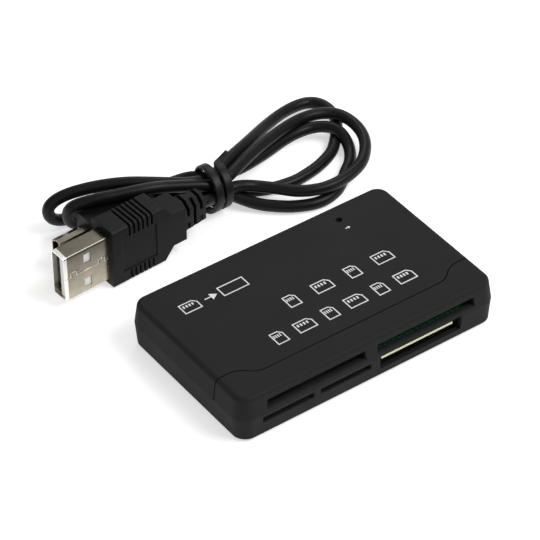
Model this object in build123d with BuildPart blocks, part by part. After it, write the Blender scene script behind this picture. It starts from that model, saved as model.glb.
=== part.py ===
from build123d import *
import os
from math import cos, radians, sin, tan

# Card reader with five front slots, a rear slot and its own lead.
# Millimetres, +Z up. The origin is the middle of the underside, and the slots face -Y.
# The reader is as long, deep and high as the sockets and walls inside it add up to.

# Walls of the housing
wall = 1.5
floor_thickness = 1.2
roof_thickness = 1.2
corner_radius = 3.6
cover_draft = 8.0
tray_draft = 4.5
top_edge_radius = 1.2
bottom_edge_chamfer = 0.6

# Joint between tray and cover
seam_front_inset = 6.4
seam_side_inset = 9.6
seam_end_inset = 11.2
seam_curve = 7.4
seam_gap = 0.3
tongue = 0.65
tongue_height = 0.8
roof_lap = 1.0
lap_clearance = 0.1

# Front slots, which are as wide and high as the channels of their sockets
upper_left_width = 25.1
upper_right_width = 25.6
upper_opening = 2.2
upper_left_end = 7.1
upper_right_end = 6.4
upper_web = 3.2
lower_left_width = 12.9
lower_middle_width = 13.0
lower_right_width = 21.4
micro_opening = 1.35
stick_opening = 2.7
lower_end = 5.8
lower_left_web = 1.85
lower_right_web = 2.55
slot_bevel = 0.15

# Card sockets
upper_base = 1.25
lower_base = 0.2
socket_rail = 0.6
socket_rear_wall = 1.2
upper_left_setback = 0.3
upper_right_setback = 1.7
micro_setback = 0.3
lower_right_setback = 0.55
socket_depth = 20.0
micro_socket_depth = 13.0
shield_sheet = 0.2
shield_setback = 1.5
lower_right_shield_setback = 0.05
shield_window_width = 4.0
shield_window_length = 5.5
contact_sheet = 0.2
contact_width = 0.55
contact_seat = 3.0
contact_reach = 7.0
upper_left_contacts = 18
upper_left_pitch = 1.25
upper_right_contacts = 9
upper_right_pitch = 2.5
lower_left_contacts = 8
lower_left_pitch = 1.1
lower_middle_contacts = 11
lower_middle_pitch = 1.0
lower_right_contacts = 10
lower_right_pitch = 1.8

# Circuit board and the posts that carry it
board_thickness = 0.6
board_gap = 0.4
board_tab_gap = 0.1
board_tab_end = 2.4
parting_rise = 0.2
under_gap = 0.9
over_gap = 0.75
post_inset = 1.6
post_radius = 1.3
post_seam_gap = 0.3
post_rear = 10.5
post_sides = 8
pin_radius = 0.7
pin_tip = 0.5
pin_clearance = 0.1

# Rear card header
rear_slot_width = 43.4
rear_slot_end = 6.0
rear_slot_sill = 0.65
header_height = 4.1
header_depth = 13.0
header_block = 4.2
header_guide = 1.2
header_gap = 0.3
header_pins = 25
header_pitch = 1.27
header_pin = 0.45
header_pin_length = 5.2
component_gap = 3.6

# Small socket at the back
mini_socket_width = 7.7
mini_socket_height = 3.9
mini_socket_depth = 9.0
mini_socket_sheet = 0.3
mini_socket_end = 8.2
mini_socket_gap = 0.08
mini_socket_mouth = 1.4
mini_tongue_width = 4.8
mini_tongue_thickness = 1.2
mini_tongue_length = 5.6
mini_step = 0.75

# Pieces soldered to the board
chip_size = 7.0
chip_height = 1.1
chip_stand_off = 0.15
chip_pins = 8
chip_pitch = 0.65
chip_lead = 1.0
crystal_length = 11.0
crystal_width = 4.5
crystal_height = 2.9
crystal_flange = 0.5
regulator_length = 3.0
regulator_width = 1.6
regulator_height = 1.1
capacitor_length = 2.0
capacitor_width = 1.25
capacitor_height = 0.9
resistor_length = 1.6
resistor_width = 0.8
resistor_height = 0.45
rear_parts_inset = 8.0
led_side_gap = 1.3
led_rear_inset = 5.4
led_radius = 0.9
led_sides = 12
led_hole_radius = 0.75
led_air = 0.15

# Large plug, which lies on its edge
plug_yaw = 3.3
a_plug_x = -39.1
a_plug_y = 39.5
a_shell_width = 12.0
a_shell_thickness = 4.5
a_shell_length = 18.7
a_shell_bare = 12.0
a_shell_sheet = 0.3
a_shell_corner = 0.55
a_hole_inset = 5.2
a_hole_length = 1.9
a_hole_width = 2.5
a_hole_offset = 3.3
a_seam_offset = 0.15
a_seam_width = 0.14
a_tab_height = 1.1
a_tab_start = 2.0
a_tab_pitch = 7.4
a_tab_length = 1.4
a_tab_flare = 0.2
a_tongue_thickness = 1.85
a_tongue_inset = 0.5
a_contact_width = 1.0
a_contact_pitch = 2.3
a_contact_length = 7.4
a_contact_thickness = 0.2
a_grip_width = 15.5
a_grip_thickness = 7.4
a_grip_length = 13.6
a_shoulder = 2.4
a_neck_width = 9.6
a_neck_length = 4.0
grip_chamfer = 0.5
groove_count = 6
groove_pitch = 1.2
groove_width = 0.55
groove_depth = 0.5
groove_wrap = 2.8
groove_start = 4.4
panel_start = 2.6
panel_length = 9.3
panel_width = 9.0
panel_depth = 0.2

# Small plug, beside it
mini_plug_x = -33.7
mini_plug_y = 49.0
mini_shell_width = 6.8
mini_shell_height = 3.0
mini_shell_length = 12.0
mini_shell_bare = 8.0
mini_shell_sheet = 0.25
mini_grip_width = 10.6
mini_grip_thickness = 6.6
mini_grip_length = 12.5
mini_shoulder = 1.6
mini_neck_width = 7.6
mini_neck_length = 3.2
mini_contacts = 5
mini_contact_pitch = 0.8
mini_contact_width = 0.4
mini_contact_length = 3.6
mini_contact_thickness = 0.15

# Strain reliefs of both plugs
relief_length = 6.4
relief_draft = 4.0
relief_thickness = 5.8
relief_margin = 0.5
relief_core = 3.6
relief_core_sides = 8
relief_chamfer = 1.6
relief_bridge = 1.8
slit_width = 0.8
slit_pitch = 1.9
slit_start = 0.9

# Hank of cord and the tie round it
cord_diameter = 2.8
cord_sides = 5
hank_x = 7.4
hank_y = 46.8
bundle_left = 6.4
bundle_right = 4.4
bundle_radius = 4.5
bundle_sides = 12
pair_diameter = 4.8
lead_straight = 2.4
tie_width = 2.0
tie_sides = 20
tie_thickness = 0.9
tie_spacing = 2.7
tie_clearance = 0.12
tie_slack = 0.6
tie_tail = 3.0
tie_tail_angle = 18.0
tie_tail_rise = 12.5

os.makedirs("parts", exist_ok=True)

# Levels and outlines that follow from the sizes above
lower_stack = lower_base + stick_opening + shield_sheet
upper_stack = upper_base + upper_opening + shield_sheet
board_bottom = floor_thickness + under_gap + lower_stack
board_top = board_bottom + board_thickness
parting = board_top + parting_rise
roof_inside = board_top + upper_stack + over_gap
height = roof_inside + roof_thickness
length = upper_left_end + upper_left_width + upper_web + upper_right_width + upper_right_end
depth = 2 * wall + upper_right_setback + socket_depth + component_gap + header_depth + header_gap
inner_length = length - 2 * wall
inner_depth = depth - 2 * wall
inner_radius = corner_radius - wall
post_x = inner_length / 2 - post_inset
seam_side_y = seam_side_inset - depth / 2
post_front_y = seam_side_y + roof_lap + lap_clearance + post_radius + post_seam_gap
post_rear_y = inner_depth / 2 - post_rear
post_places = [(x, y) for x in (-post_x, post_x) for y in (post_front_y, post_rear_y)]
header_middle = -length / 2 + rear_slot_end + rear_slot_width / 2
header_rear = inner_depth / 2 - header_gap
header_block_rear = header_rear - header_depth + header_block
rear_slot_bottom = board_top + rear_slot_sill
led_x = header_middle + rear_slot_width / 2 + header_guide + led_side_gap
led_y = depth / 2 - led_rear_inset
mini_socket_x = length / 2 - mini_socket_end
mini_socket_z = board_bottom - mini_socket_height / 2
rear_parts_y = inner_depth / 2 - rear_parts_inset


def keep(piece, name):
    """Label a finished piece and write it out."""
    piece.part.label = name
    export_step(piece.part, f"parts/{name}.step")


def behind_seam(shift):
    """Plan of everything behind the curved seam, moved back by shift."""
    flat = Vector(length / 2 - seam_end_inset, seam_front_inset - depth / 2 + shift)
    side = Vector(flat.X + seam_curve, seam_side_y + shift)
    middle = (flat + side) / 2
    with BuildSketch() as plan:
        with BuildLine():
            Line((0, flat.Y), flat)
            TangentArc(flat, middle, tangent=(1, 0))
            TangentArc(side, middle, tangent=(-1, 0))
            Polyline(side, (length, side.Y), (length, depth), (0, depth))
            mirror(about=Plane.YZ)
        make_face()
    return plan.sketch


def front_face(z):
    """Y of the front face at a height, with the draft of the shell there."""
    draft = cover_draft if z > parting else tray_draft
    return -depth / 2 + abs(z - parting) * tan(radians(draft))


def mini_outline(width, thickness, step):
    """Section of the small connector: straight on one side, stepped in on the other."""
    with BuildSketch() as outline:
        with BuildLine():
            Polyline(
                (0, thickness / 2),
                (width / 2, thickness / 2),
                (width / 2, 0),
                (width / 2 - step, -thickness / 2),
                (0, -thickness / 2),
            )
            mirror(about=Plane.YZ)
        make_face()
    return outline.sketch


# Front slots by the side of the board that their sockets are on
upper_left_x = -length / 2 + upper_left_end + upper_left_width / 2
upper_right_x = length / 2 - upper_right_end - upper_right_width / 2
lower_left_x = -length / 2 + lower_end + lower_left_width / 2
lower_middle_x = lower_left_x + (lower_left_width + lower_middle_width) / 2 + lower_left_web
lower_right_x = lower_middle_x + (lower_middle_width + lower_right_width) / 2 + lower_right_web
slots = {
    "upper_left": (1, upper_left_x, upper_left_width, upper_opening),
    "upper_right": (1, upper_right_x, upper_right_width, upper_opening),
    "lower_left": (-1, lower_left_x, lower_left_width, micro_opening),
    "lower_middle": (-1, lower_middle_x, lower_middle_width, micro_opening),
    "lower_right": (-1, lower_right_x, lower_right_width, stick_opening),
}
socket_fronts = {
    "upper_left": upper_left_setback - inner_depth / 2,
    "upper_right": upper_right_setback - inner_depth / 2,
    "lower_left": micro_setback - inner_depth / 2,
    "lower_middle": micro_setback - inner_depth / 2,
    "lower_right": lower_right_setback - inner_depth / 2,
}
socket_contact_rows = {
    "upper_left": (upper_left_contacts, upper_left_pitch),
    "upper_right": (upper_right_contacts, upper_right_pitch),
    "lower_left": (lower_left_contacts, lower_left_pitch),
    "lower_middle": (lower_middle_contacts, lower_middle_pitch),
    "lower_right": (lower_right_contacts, lower_right_pitch),
}


def channel(side, opening):
    """Base under a card, its board face and the middle height of its channel."""
    base = upper_base if side > 0 else lower_base
    face = board_top if side > 0 else board_bottom
    return base, face, face + side * (base + opening / 2)


# Outer form and hollow of the closed housing
with BuildPart() as envelope:
    with BuildSketch(Plane.XY.offset(parting)):
        RectangleRounded(length, depth, corner_radius)
    extrude(amount=height - parting, taper=cover_draft)
    with BuildSketch(Plane((0, 0, parting), z_dir=(0, 0, -1))):
        RectangleRounded(length, depth, corner_radius)
    extrude(amount=parting, taper=tray_draft)
    fillet(envelope.faces().sort_by(Axis.Z)[-1].edges(), top_edge_radius)
    chamfer(envelope.faces().sort_by(Axis.Z)[0].edges(), bottom_edge_chamfer)

with BuildPart() as cavity:
    with BuildSketch(Plane.XY.offset(floor_thickness)):
        RectangleRounded(inner_length, inner_depth, inner_radius)
    extrude(amount=roof_inside - floor_thickness)

# Sill under the rear slot, which follows the slope of the rear wall
with BuildPart() as rear_sill:
    with BuildSketch(Plane.XY.offset(parting)):
        with Locations((header_middle, depth / 2 - wall)):
            Rectangle(rear_slot_width - 2 * lap_clearance, 2 * wall, align=(Align.CENTER, Align.MIN))
    extrude(amount=rear_slot_bottom - parting)
    add(envelope.part, mode=Mode.INTERSECT)

mini_mouth_outline = mini_outline(
    mini_socket_width + 2 * mini_socket_gap, mini_socket_height + 2 * mini_socket_gap, mini_step
)

# Tray and front fascia, one moulding
with BuildPart() as bottom_shell:
    add(envelope.part)
    with BuildSketch(Plane.XY.offset(parting)):
        add(behind_seam(0))
    extrude(amount=height, mode=Mode.SUBTRACT)
    add(cavity.part, mode=Mode.SUBTRACT)
    with BuildSketch(Plane.XY.offset(parting)):
        RectangleRounded(inner_length + 2 * tongue, inner_depth + 2 * tongue, inner_radius + tongue)
        RectangleRounded(inner_length, inner_depth, inner_radius, mode=Mode.SUBTRACT)
        add(behind_seam(0), mode=Mode.INTERSECT)
    extrude(amount=tongue_height)
    with BuildSketch(Plane.XY.offset(roof_inside)):
        Rectangle(inner_length, inner_depth)
        add(behind_seam(0), mode=Mode.INTERSECT)
        add(behind_seam(roof_lap), mode=Mode.SUBTRACT)
    extrude(amount=roof_thickness / 2 - lap_clearance)
    with BuildSketch(Plane.XY.offset(parting)):
        with Locations((header_middle, depth / 2)):
            Rectangle(rear_slot_width, 4 * wall)
    extrude(amount=height, mode=Mode.SUBTRACT)
    add(rear_sill.part)
    for name, (side, middle, width, opening) in slots.items():
        low = channel(side, opening)[2] - opening / 2
        high = board_top + board_tab_gap if name == "lower_right" else low + opening
        z = (low + high) / 2
        with BuildSketch(Plane.XZ.offset(inner_depth / 2 - slot_bevel)):
            with Locations((middle, z)):
                Rectangle(width, high - low)
        extrude(amount=2 * wall, mode=Mode.SUBTRACT)
        with BuildSketch(Plane.XZ.offset(-front_face(z) - slot_bevel)):
            with Locations((middle, z)):
                Rectangle(width, high - low)
        extrude(amount=2 * slot_bevel, taper=-45, mode=Mode.SUBTRACT)
    with BuildSketch(Plane.XZ.offset(-depth / 2 - wall)):
        with Locations((mini_socket_x, mini_socket_z)):
            add(mini_mouth_outline)
    extrude(amount=3 * wall, mode=Mode.SUBTRACT)
    with BuildSketch(Plane.XY.offset(floor_thickness)):
        with Locations(*post_places):
            RegularPolygon(post_radius, post_sides)
    extrude(amount=board_bottom - floor_thickness)
    with BuildSketch(Plane.XY.offset(board_bottom)):
        with Locations(*post_places):
            RegularPolygon(pin_radius, post_sides)
    extrude(amount=board_thickness + pin_tip)
keep(bottom_shell, "bottom_shell")

# Cover, rebated for the tray's tongue and for the fascia's lap
with BuildPart() as top_cover:
    with BuildSketch(Plane.XY.offset(parting)):
        add(behind_seam(seam_gap))
    extrude(amount=height)
    add(envelope.part, mode=Mode.INTERSECT)
    add(cavity.part, mode=Mode.SUBTRACT)
    rebate = tongue + lap_clearance
    with BuildSketch(Plane.XY.offset(parting)):
        RectangleRounded(inner_length + 2 * rebate, inner_depth + 2 * rebate, inner_radius + rebate)
    extrude(amount=tongue_height + lap_clearance, mode=Mode.SUBTRACT)
    with BuildSketch(Plane.XY.offset(roof_inside)):
        Rectangle(inner_length, inner_depth)
        add(behind_seam(roof_lap + lap_clearance), mode=Mode.SUBTRACT)
    extrude(amount=roof_thickness / 2, mode=Mode.SUBTRACT)
    with BuildSketch(Plane.XY.offset(parting)):
        with Locations((header_middle, depth / 2)):
            Rectangle(rear_slot_width, 4 * wall)
    extrude(amount=board_top + header_height - parting, mode=Mode.SUBTRACT)
    with BuildSketch(Plane.XY.offset(board_top)):
        with Locations(*post_places):
            RegularPolygon(post_radius, post_sides)
            RegularPolygon(pin_radius + pin_clearance, post_sides, mode=Mode.SUBTRACT)
    extrude(amount=roof_inside - board_top)
    with BuildSketch(Plane.XY.offset(board_top)):
        with Locations((led_x, led_y)):
            Circle(led_hole_radius)
    extrude(amount=height, mode=Mode.SUBTRACT)
keep(top_cover, "top_cover")

# Board, with a tab that comes out through the top of the lower right slot
with BuildPart() as main_board:
    tab_left = lower_right_x - lower_right_width / 2 + board_tab_gap
    tab_width = lower_right_width - board_tab_gap - board_tab_end
    with BuildSketch(Plane.XY.offset(board_bottom)):
        RectangleRounded(inner_length - 2 * board_gap, inner_depth - 2 * board_gap, inner_radius)
        with Locations((tab_left, front_face(board_top) + board_tab_gap)):
            Rectangle(tab_width, 2 * wall, align=(Align.MIN, Align.MIN))
        with Locations(*post_places):
            RegularPolygon(pin_radius + pin_clearance, post_sides, mode=Mode.SUBTRACT)
    extrude(amount=board_thickness)
keep(main_board, "main_board")


def socket_body(side, middle, width, opening, front, deep):
    """Tray of a card socket: base on the board, two rails and a rear wall."""
    base, face, _ = channel(side, opening)
    mouth = Plane((middle, front, face), x_dir=(-side, 0, 0), z_dir=(0, 1, 0))
    with BuildPart() as body:
        with BuildSketch(mouth):
            Rectangle(width + 2 * socket_rail, base + opening, align=(Align.CENTER, Align.MIN))
            with Locations((0, base)):
                Rectangle(width, opening, align=(Align.CENTER, Align.MIN), mode=Mode.SUBTRACT)
        extrude(amount=deep)
        with BuildSketch(mouth.offset(deep - socket_rear_wall)):
            with Locations((0, base)):
                Rectangle(width, opening, align=(Align.CENTER, Align.MIN))
        extrude(amount=socket_rear_wall)
    return body


def socket_shield(side, middle, width, opening, front, deep, start):
    """Folded sheet over a socket, down to the board on both sides, with two spring windows."""
    base, face, _ = channel(side, opening)
    mouth = Plane((middle, front, face), x_dir=(-side, 0, 0), z_dir=(0, 1, 0))
    lid = Plane((middle, front + deep / 2, face), x_dir=(side, 0, 0), z_dir=(0, 0, side))
    outside = width + 2 * socket_rail
    with BuildPart() as shield:
        with BuildSketch(mouth.offset(start)):
            Rectangle(
                outside + 2 * shield_sheet, base + opening + shield_sheet, align=(Align.CENTER, Align.MIN)
            )
            Rectangle(outside, base + opening, align=(Align.CENTER, Align.MIN), mode=Mode.SUBTRACT)
        extrude(amount=deep - start)
        with BuildSketch(lid):
            with GridLocations(width / 2, 1, 2, 1):
                Rectangle(shield_window_width, shield_window_length)
        extrude(amount=height, mode=Mode.SUBTRACT)
    return shield


def socket_contacts(side, middle, opening, front, deep, count, pitch):
    """Row of springs that lie on the base at the rear wall and rise into the channel."""
    base, face, _ = channel(side, opening)
    root = deep - socket_rear_wall
    rise = base + 0.45 * opening
    knee = root - contact_seat
    crest = root - contact_reach
    row = [middle + pitch * (i - (count - 1) / 2) for i in range(count)]
    flanks = [Plane((x, front, face), x_dir=(0, 1, 0), z_dir=(side, 0, 0)) for x in row]
    under = [(root, base), (knee, base), (crest, rise)]
    with BuildPart() as contacts:
        with BuildSketch(*flanks):
            with BuildLine():
                Polyline(*under, *[(y, z + contact_sheet) for y, z in reversed(under)], close=True)
            make_face()
        extrude(amount=contact_width / 2, both=True)
    return contacts


for name, (side, middle, width, opening) in slots.items():
    front = socket_fronts[name]
    count, pitch = socket_contact_rows[name]
    deep = micro_socket_depth if opening == micro_opening else socket_depth
    start = lower_right_shield_setback if name == "lower_right" else shield_setback
    keep(socket_body(side, middle, width, opening, front, deep), f"{name}_socket_body")
    keep(socket_shield(side, middle, width, opening, front, deep, start), f"{name}_socket_shield")
    keep(socket_contacts(side, middle, opening, front, deep, count, pitch), f"{name}_socket_contacts")

# Rear header: a block with two guides that run to the rear wall, and two rows of pins
with BuildPart() as rear_card_header:
    with BuildSketch(Plane.XY.offset(board_top)):
        with Locations((header_middle, header_rear)):
            Rectangle(rear_slot_width + 2 * header_guide, header_depth, align=(Align.CENTER, Align.MAX))
            Rectangle(
                rear_slot_width,
                header_depth - header_block,
                align=(Align.CENTER, Align.MAX),
                mode=Mode.SUBTRACT,
            )
    extrude(amount=header_height)
keep(rear_card_header, "rear_card_header")

with BuildPart() as rear_card_pins:
    pin_level = (rear_slot_bottom + board_top + header_height) / 2
    with BuildSketch(
        Plane((header_middle, header_block_rear, pin_level), x_dir=(-1, 0, 0), z_dir=(0, 1, 0))
    ):
        with GridLocations(header_pitch, header_pitch, header_pins, 2):
            Rectangle(header_pin, header_pin)
    extrude(amount=header_pin_length)
keep(rear_card_pins, "rear_card_pins")

# Small socket under the board, mouth level with the rear wall
mini_mouth = Plane((mini_socket_x, depth / 2 - wall / 4, mini_socket_z), z_dir=(0, -1, 0), x_dir=(1, 0, 0))
mini_inner_width = mini_socket_width - 2 * mini_socket_sheet
mini_inner_height = mini_socket_height - 2 * mini_socket_sheet
mini_block = mini_socket_depth - mini_tongue_length - mini_socket_mouth
with BuildPart() as mini_socket_shell:
    with BuildSketch(mini_mouth):
        add(mini_outline(mini_socket_width, mini_socket_height, mini_step))
        add(mini_outline(mini_inner_width, mini_inner_height, mini_step), mode=Mode.SUBTRACT)
    extrude(amount=mini_socket_depth)
keep(mini_socket_shell, "mini_socket_shell")

with BuildPart() as mini_socket_tongue:
    with BuildSketch(mini_mouth.offset(mini_socket_depth - mini_block)):
        add(mini_outline(mini_inner_width, mini_inner_height, mini_step))
    extrude(amount=mini_block)
    with BuildSketch(mini_mouth.offset(mini_socket_depth - mini_block - mini_tongue_length)):
        Rectangle(mini_tongue_width, mini_tongue_thickness)
    extrude(amount=mini_tongue_length)
keep(mini_socket_tongue, "mini_socket_tongue")

with BuildPart() as mini_socket_contacts:
    with BuildSketch(mini_mouth.offset(mini_socket_depth - mini_block - mini_contact_length)):
        with Locations((0, -mini_tongue_thickness / 2)):
            with GridLocations(mini_contact_pitch, 1, mini_contacts, 1):
                Rectangle(
                    mini_contact_width, mini_contact_thickness, align=(Align.CENTER, Align.MAX)
                )
    extrude(amount=mini_contact_length)
keep(mini_socket_contacts, "mini_socket_contacts")

# Pieces on the underside of the board, behind the lower sockets
under_board = Plane((0, rear_parts_y, board_bottom), x_dir=(-1, 0, 0), z_dir=(0, 0, -1))
chip_x = -0.25 * length
crystal_x = 0.02 * length
with BuildPart() as controller_chip:
    with BuildSketch(under_board.offset(chip_stand_off)):
        with Locations((-chip_x, 0)):
            Rectangle(chip_size, chip_size)
    extrude(amount=chip_height - chip_stand_off)
    chamfer(controller_chip.faces().sort_by(Axis.Z)[0].edges(), chip_stand_off)
    with BuildSketch(under_board):
        with Locations((-chip_x, 0)):
            lead_circle = (chip_size + chip_lead) / 2
            with PolarLocations(lead_circle, 4):
                with GridLocations(chip_lead, chip_pitch, 1, chip_pins):
                    Rectangle(chip_lead, chip_pitch / 2)
    extrude(amount=chip_height / 2)
keep(controller_chip, "controller_chip")

with BuildPart() as crystal_can:
    with BuildSketch(under_board):
        with Locations((-crystal_x, 0)):
            Rectangle(crystal_length, crystal_width)
    extrude(amount=crystal_flange)
    with BuildSketch(under_board.offset(crystal_flange)):
        with Locations((-crystal_x, 0)):
            SlotOverall(crystal_length - crystal_flange, crystal_width - crystal_flange)
    extrude(amount=crystal_height - crystal_flange)
keep(crystal_can, "crystal_can")

with BuildPart() as voltage_regulator:
    with BuildSketch(under_board):
        with Locations((-crystal_x - crystal_length, 0)):
            Rectangle(regulator_length, regulator_width)
    extrude(amount=regulator_height)
keep(voltage_regulator, "voltage_regulator")

with BuildPart() as chip_capacitors:
    with BuildSketch(under_board):
        with Locations((-chip_x, chip_size)):
            with GridLocations(2 * capacitor_length, 1, 4, 1):
                Rectangle(capacitor_length, capacitor_width)
    extrude(amount=capacitor_height)
keep(chip_capacitors, "chip_capacitors")

with BuildPart() as chip_resistors:
    with BuildSketch(under_board):
        with Locations((-crystal_x, crystal_width)):
            with GridLocations(2 * resistor_length, 2 * resistor_width, 3, 2):
                Rectangle(resistor_length, resistor_width)
    extrude(amount=resistor_height)
keep(chip_resistors, "chip_resistors")

with BuildPart() as indicator_led:
    led_top = roof_inside - led_air
    with BuildSketch(Plane.XY.offset(board_top)):
        with Locations((led_x, led_y)):
            RegularPolygon(led_radius, led_sides)
    extrude(amount=led_top - board_top)
    chamfer(indicator_led.faces().sort_by(Axis.Z)[-1].edges(), 0.5 * led_radius)
keep(indicator_led, "indicator_led")


def plug_axis(x, y, z):
    """Section plane at a plug's tip: local X up, local Y to the front, Z along the plug."""
    heading = (cos(radians(plug_yaw)), sin(radians(plug_yaw)), 0)
    return Plane((x, y, z), z_dir=heading, x_dir=(0, 0, 1))


def plug_flank(section):
    """Plane through a plug's axis: local X along the plug, local Y up."""
    return Plane(section.origin, x_dir=section.z_dir, z_dir=section.y_dir)


def grip(section, bare, width, thickness, long, shoulder, neck, neck_long):
    """Moulded grip with shoulders, a narrower neck and a slotted strain relief, still solid."""
    rear = bare + long + shoulder + neck_long
    relief_width = neck - 2 * relief_margin
    with BuildPart() as moulding:
        outline = [
            (bare, width / 2),
            (bare + long, width / 2),
            (bare + long + shoulder, neck / 2),
            (rear, neck / 2),
        ]
        with BuildSketch(plug_flank(section)):
            with BuildLine():
                Polyline(*outline, *[(u, -v) for u, v in reversed(outline)], close=True)
            make_face()
        extrude(amount=thickness / 2, both=True)
        chamfer(moulding.edges().filter_by(Axis((0, 0, 0), section.z_dir)), grip_chamfer)
        with BuildSketch(section.offset(rear)):
            outside = Rectangle(relief_width, relief_thickness)
            chamfer(outside.vertices(), relief_chamfer)
        extrude(amount=relief_length, taper=relief_draft)
        for i in range(3):
            with BuildSketch(section.offset(rear + slit_start + i * slit_pitch)):
                Rectangle(2 * width, 2 * width)
                RegularPolygon(relief_core / 2, relief_core_sides, mode=Mode.SUBTRACT)
                if i % 2:
                    Rectangle(2 * width, relief_bridge, mode=Mode.SUBTRACT)
                else:
                    Rectangle(relief_bridge, 2 * width, mode=Mode.SUBTRACT)
            extrude(amount=slit_width, mode=Mode.SUBTRACT)
    return moulding.part, section.offset(rear + relief_length)


# Large plug
a_section = plug_axis(a_plug_x, a_plug_y, a_grip_width / 2)
a_flank = plug_flank(a_section)
a_inner_width = a_shell_width - 2 * a_shell_sheet
a_inner_thickness = a_shell_thickness - 2 * a_shell_sheet
a_inner_corner = a_shell_corner - a_shell_sheet
with BuildPart() as a_plug_shell:
    with BuildSketch(a_section):
        RectangleRounded(a_shell_width, a_shell_thickness, a_shell_corner)
        RectangleRounded(a_inner_width, a_inner_thickness, a_inner_corner, mode=Mode.SUBTRACT)
    extrude(amount=a_shell_length)
    with BuildSketch(a_flank):
        with Locations((a_hole_inset + a_hole_length / 2, 0)):
            with GridLocations(1, 2 * a_hole_offset, 1, 2):
                Rectangle(a_hole_length, a_hole_width)
    extrude(amount=a_shell_thickness, both=True, mode=Mode.SUBTRACT)
    with BuildSketch(a_flank.offset(a_shell_thickness / 2 - 2 * a_shell_sheet)):
        with BuildLine():
            low = a_seam_offset
            high = a_seam_offset + a_tab_height
            tabs = []
            for tab in (a_tab_start, a_tab_start + a_tab_pitch):
                tabs += [(tab, low), (tab - a_tab_flare, high)]
                tabs += [(tab + a_tab_length + a_tab_flare, high), (tab + a_tab_length, low)]
            Polyline((-a_tab_start, low), *tabs, (a_shell_length + a_tab_start, low))
        trace(line_width=a_seam_width)
    extrude(amount=3 * a_shell_sheet, mode=Mode.SUBTRACT)
keep(a_plug_shell, "a_plug_shell")

with BuildPart() as a_plug_insulator:
    with BuildSketch(a_section.offset(a_tongue_inset)):
        with Locations((0, a_inner_thickness / 2)):
            Rectangle(
                a_inner_width - 2 * a_inner_corner, a_tongue_thickness, align=(Align.CENTER, Align.MAX)
            )
    extrude(amount=a_shell_bare - a_tongue_inset)
    with BuildSketch(a_section.offset(a_shell_bare)):
        RectangleRounded(a_inner_width, a_inner_thickness, a_inner_corner)
    extrude(amount=a_shell_length - a_shell_bare)
keep(a_plug_insulator, "a_plug_insulator")

with BuildPart() as a_plug_contacts:
    with BuildSketch(a_section.offset(a_shell_bare - a_contact_length)):
        with Locations((0, a_inner_thickness / 2 - a_tongue_thickness)):
            with GridLocations(a_contact_pitch, 1, 4, 1):
                Rectangle(a_contact_width, a_contact_thickness, align=(Align.CENTER, Align.MAX))
    extrude(amount=a_contact_length)
keep(a_plug_contacts, "a_plug_contacts")

a_grip, a_lead_face = grip(
    a_section, a_shell_bare, a_grip_width, a_grip_thickness, a_grip_length, a_shoulder, a_neck_width,
    a_neck_length,
)
with BuildPart() as a_plug_overmould:
    add(a_grip)
    grooves = [a_shell_bare + groove_start + i * groove_pitch for i in range(groove_count)]
    with BuildSketch(*[a_section.offset(u) for u in grooves]):
        with GridLocations(a_grip_width - groove_wrap, 1, 2, 1):
            Rectangle(groove_wrap + groove_depth, 2 * a_grip_thickness)
        Rectangle(
            a_grip_width - 2 * groove_depth, a_grip_thickness - 2 * groove_depth, mode=Mode.SUBTRACT
        )
    extrude(amount=groove_width, mode=Mode.SUBTRACT)
    with BuildSketch(a_flank.offset(a_grip_thickness / 2), a_flank.offset(-a_grip_thickness / 2)):
        with Locations((a_shell_bare + panel_start + panel_length / 2, 0)):
            Rectangle(panel_length, panel_width)
    extrude(amount=panel_depth, both=True, mode=Mode.SUBTRACT)
    with BuildSketch(a_section.offset(a_shell_bare)):
        RectangleRounded(a_shell_width, a_shell_thickness, a_shell_corner)
    extrude(amount=a_shell_length - a_shell_bare, mode=Mode.SUBTRACT)
keep(a_plug_overmould, "a_plug_overmould")

# Small plug
mini_section = plug_axis(mini_plug_x, mini_plug_y, mini_grip_width / 2)
mini_bore_width = mini_shell_width - 2 * mini_shell_sheet
mini_bore_height = mini_shell_height - 2 * mini_shell_sheet
with BuildPart() as mini_plug_shell:
    with BuildSketch(mini_section):
        add(mini_outline(mini_shell_width, mini_shell_height, mini_step))
        add(mini_outline(mini_bore_width, mini_bore_height, mini_step), mode=Mode.SUBTRACT)
    extrude(amount=mini_shell_length)
keep(mini_plug_shell, "mini_plug_shell")

with BuildPart() as mini_plug_insulator:
    with BuildSketch(mini_section.offset(mini_shell_sheet)):
        with Locations((0, mini_bore_height / 2)):
            Rectangle(mini_bore_width, mini_bore_height / 3, align=(Align.CENTER, Align.MAX))
    extrude(amount=mini_shell_bare - mini_shell_sheet)
    with BuildSketch(mini_section.offset(mini_shell_bare)):
        add(mini_outline(mini_bore_width, mini_bore_height, mini_step))
    extrude(amount=mini_shell_length - mini_shell_bare)
keep(mini_plug_insulator, "mini_plug_insulator")

with BuildPart() as mini_plug_contacts:
    with BuildSketch(mini_section.offset(mini_shell_bare - mini_contact_length)):
        with Locations((0, mini_bore_height / 6)):
            with GridLocations(mini_contact_pitch, 1, mini_contacts, 1):
                Rectangle(
                    mini_contact_width, mini_contact_thickness, align=(Align.CENTER, Align.MAX)
                )
    extrude(amount=mini_contact_length)
keep(mini_plug_contacts, "mini_plug_contacts")

mini_grip, mini_lead_face = grip(
    mini_section, mini_shell_bare, mini_grip_width, mini_grip_thickness, mini_grip_length, mini_shoulder,
    mini_neck_width, mini_neck_length,
)
with BuildPart() as mini_plug_overmould:
    add(mini_grip)
    with BuildSketch(mini_section.offset(mini_shell_bare)):
        add(mini_outline(mini_shell_width, mini_shell_height, mini_step))
    extrude(amount=mini_shell_length - mini_shell_bare, mode=Mode.SUBTRACT)
keep(mini_plug_overmould, "mini_plug_overmould")


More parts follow.
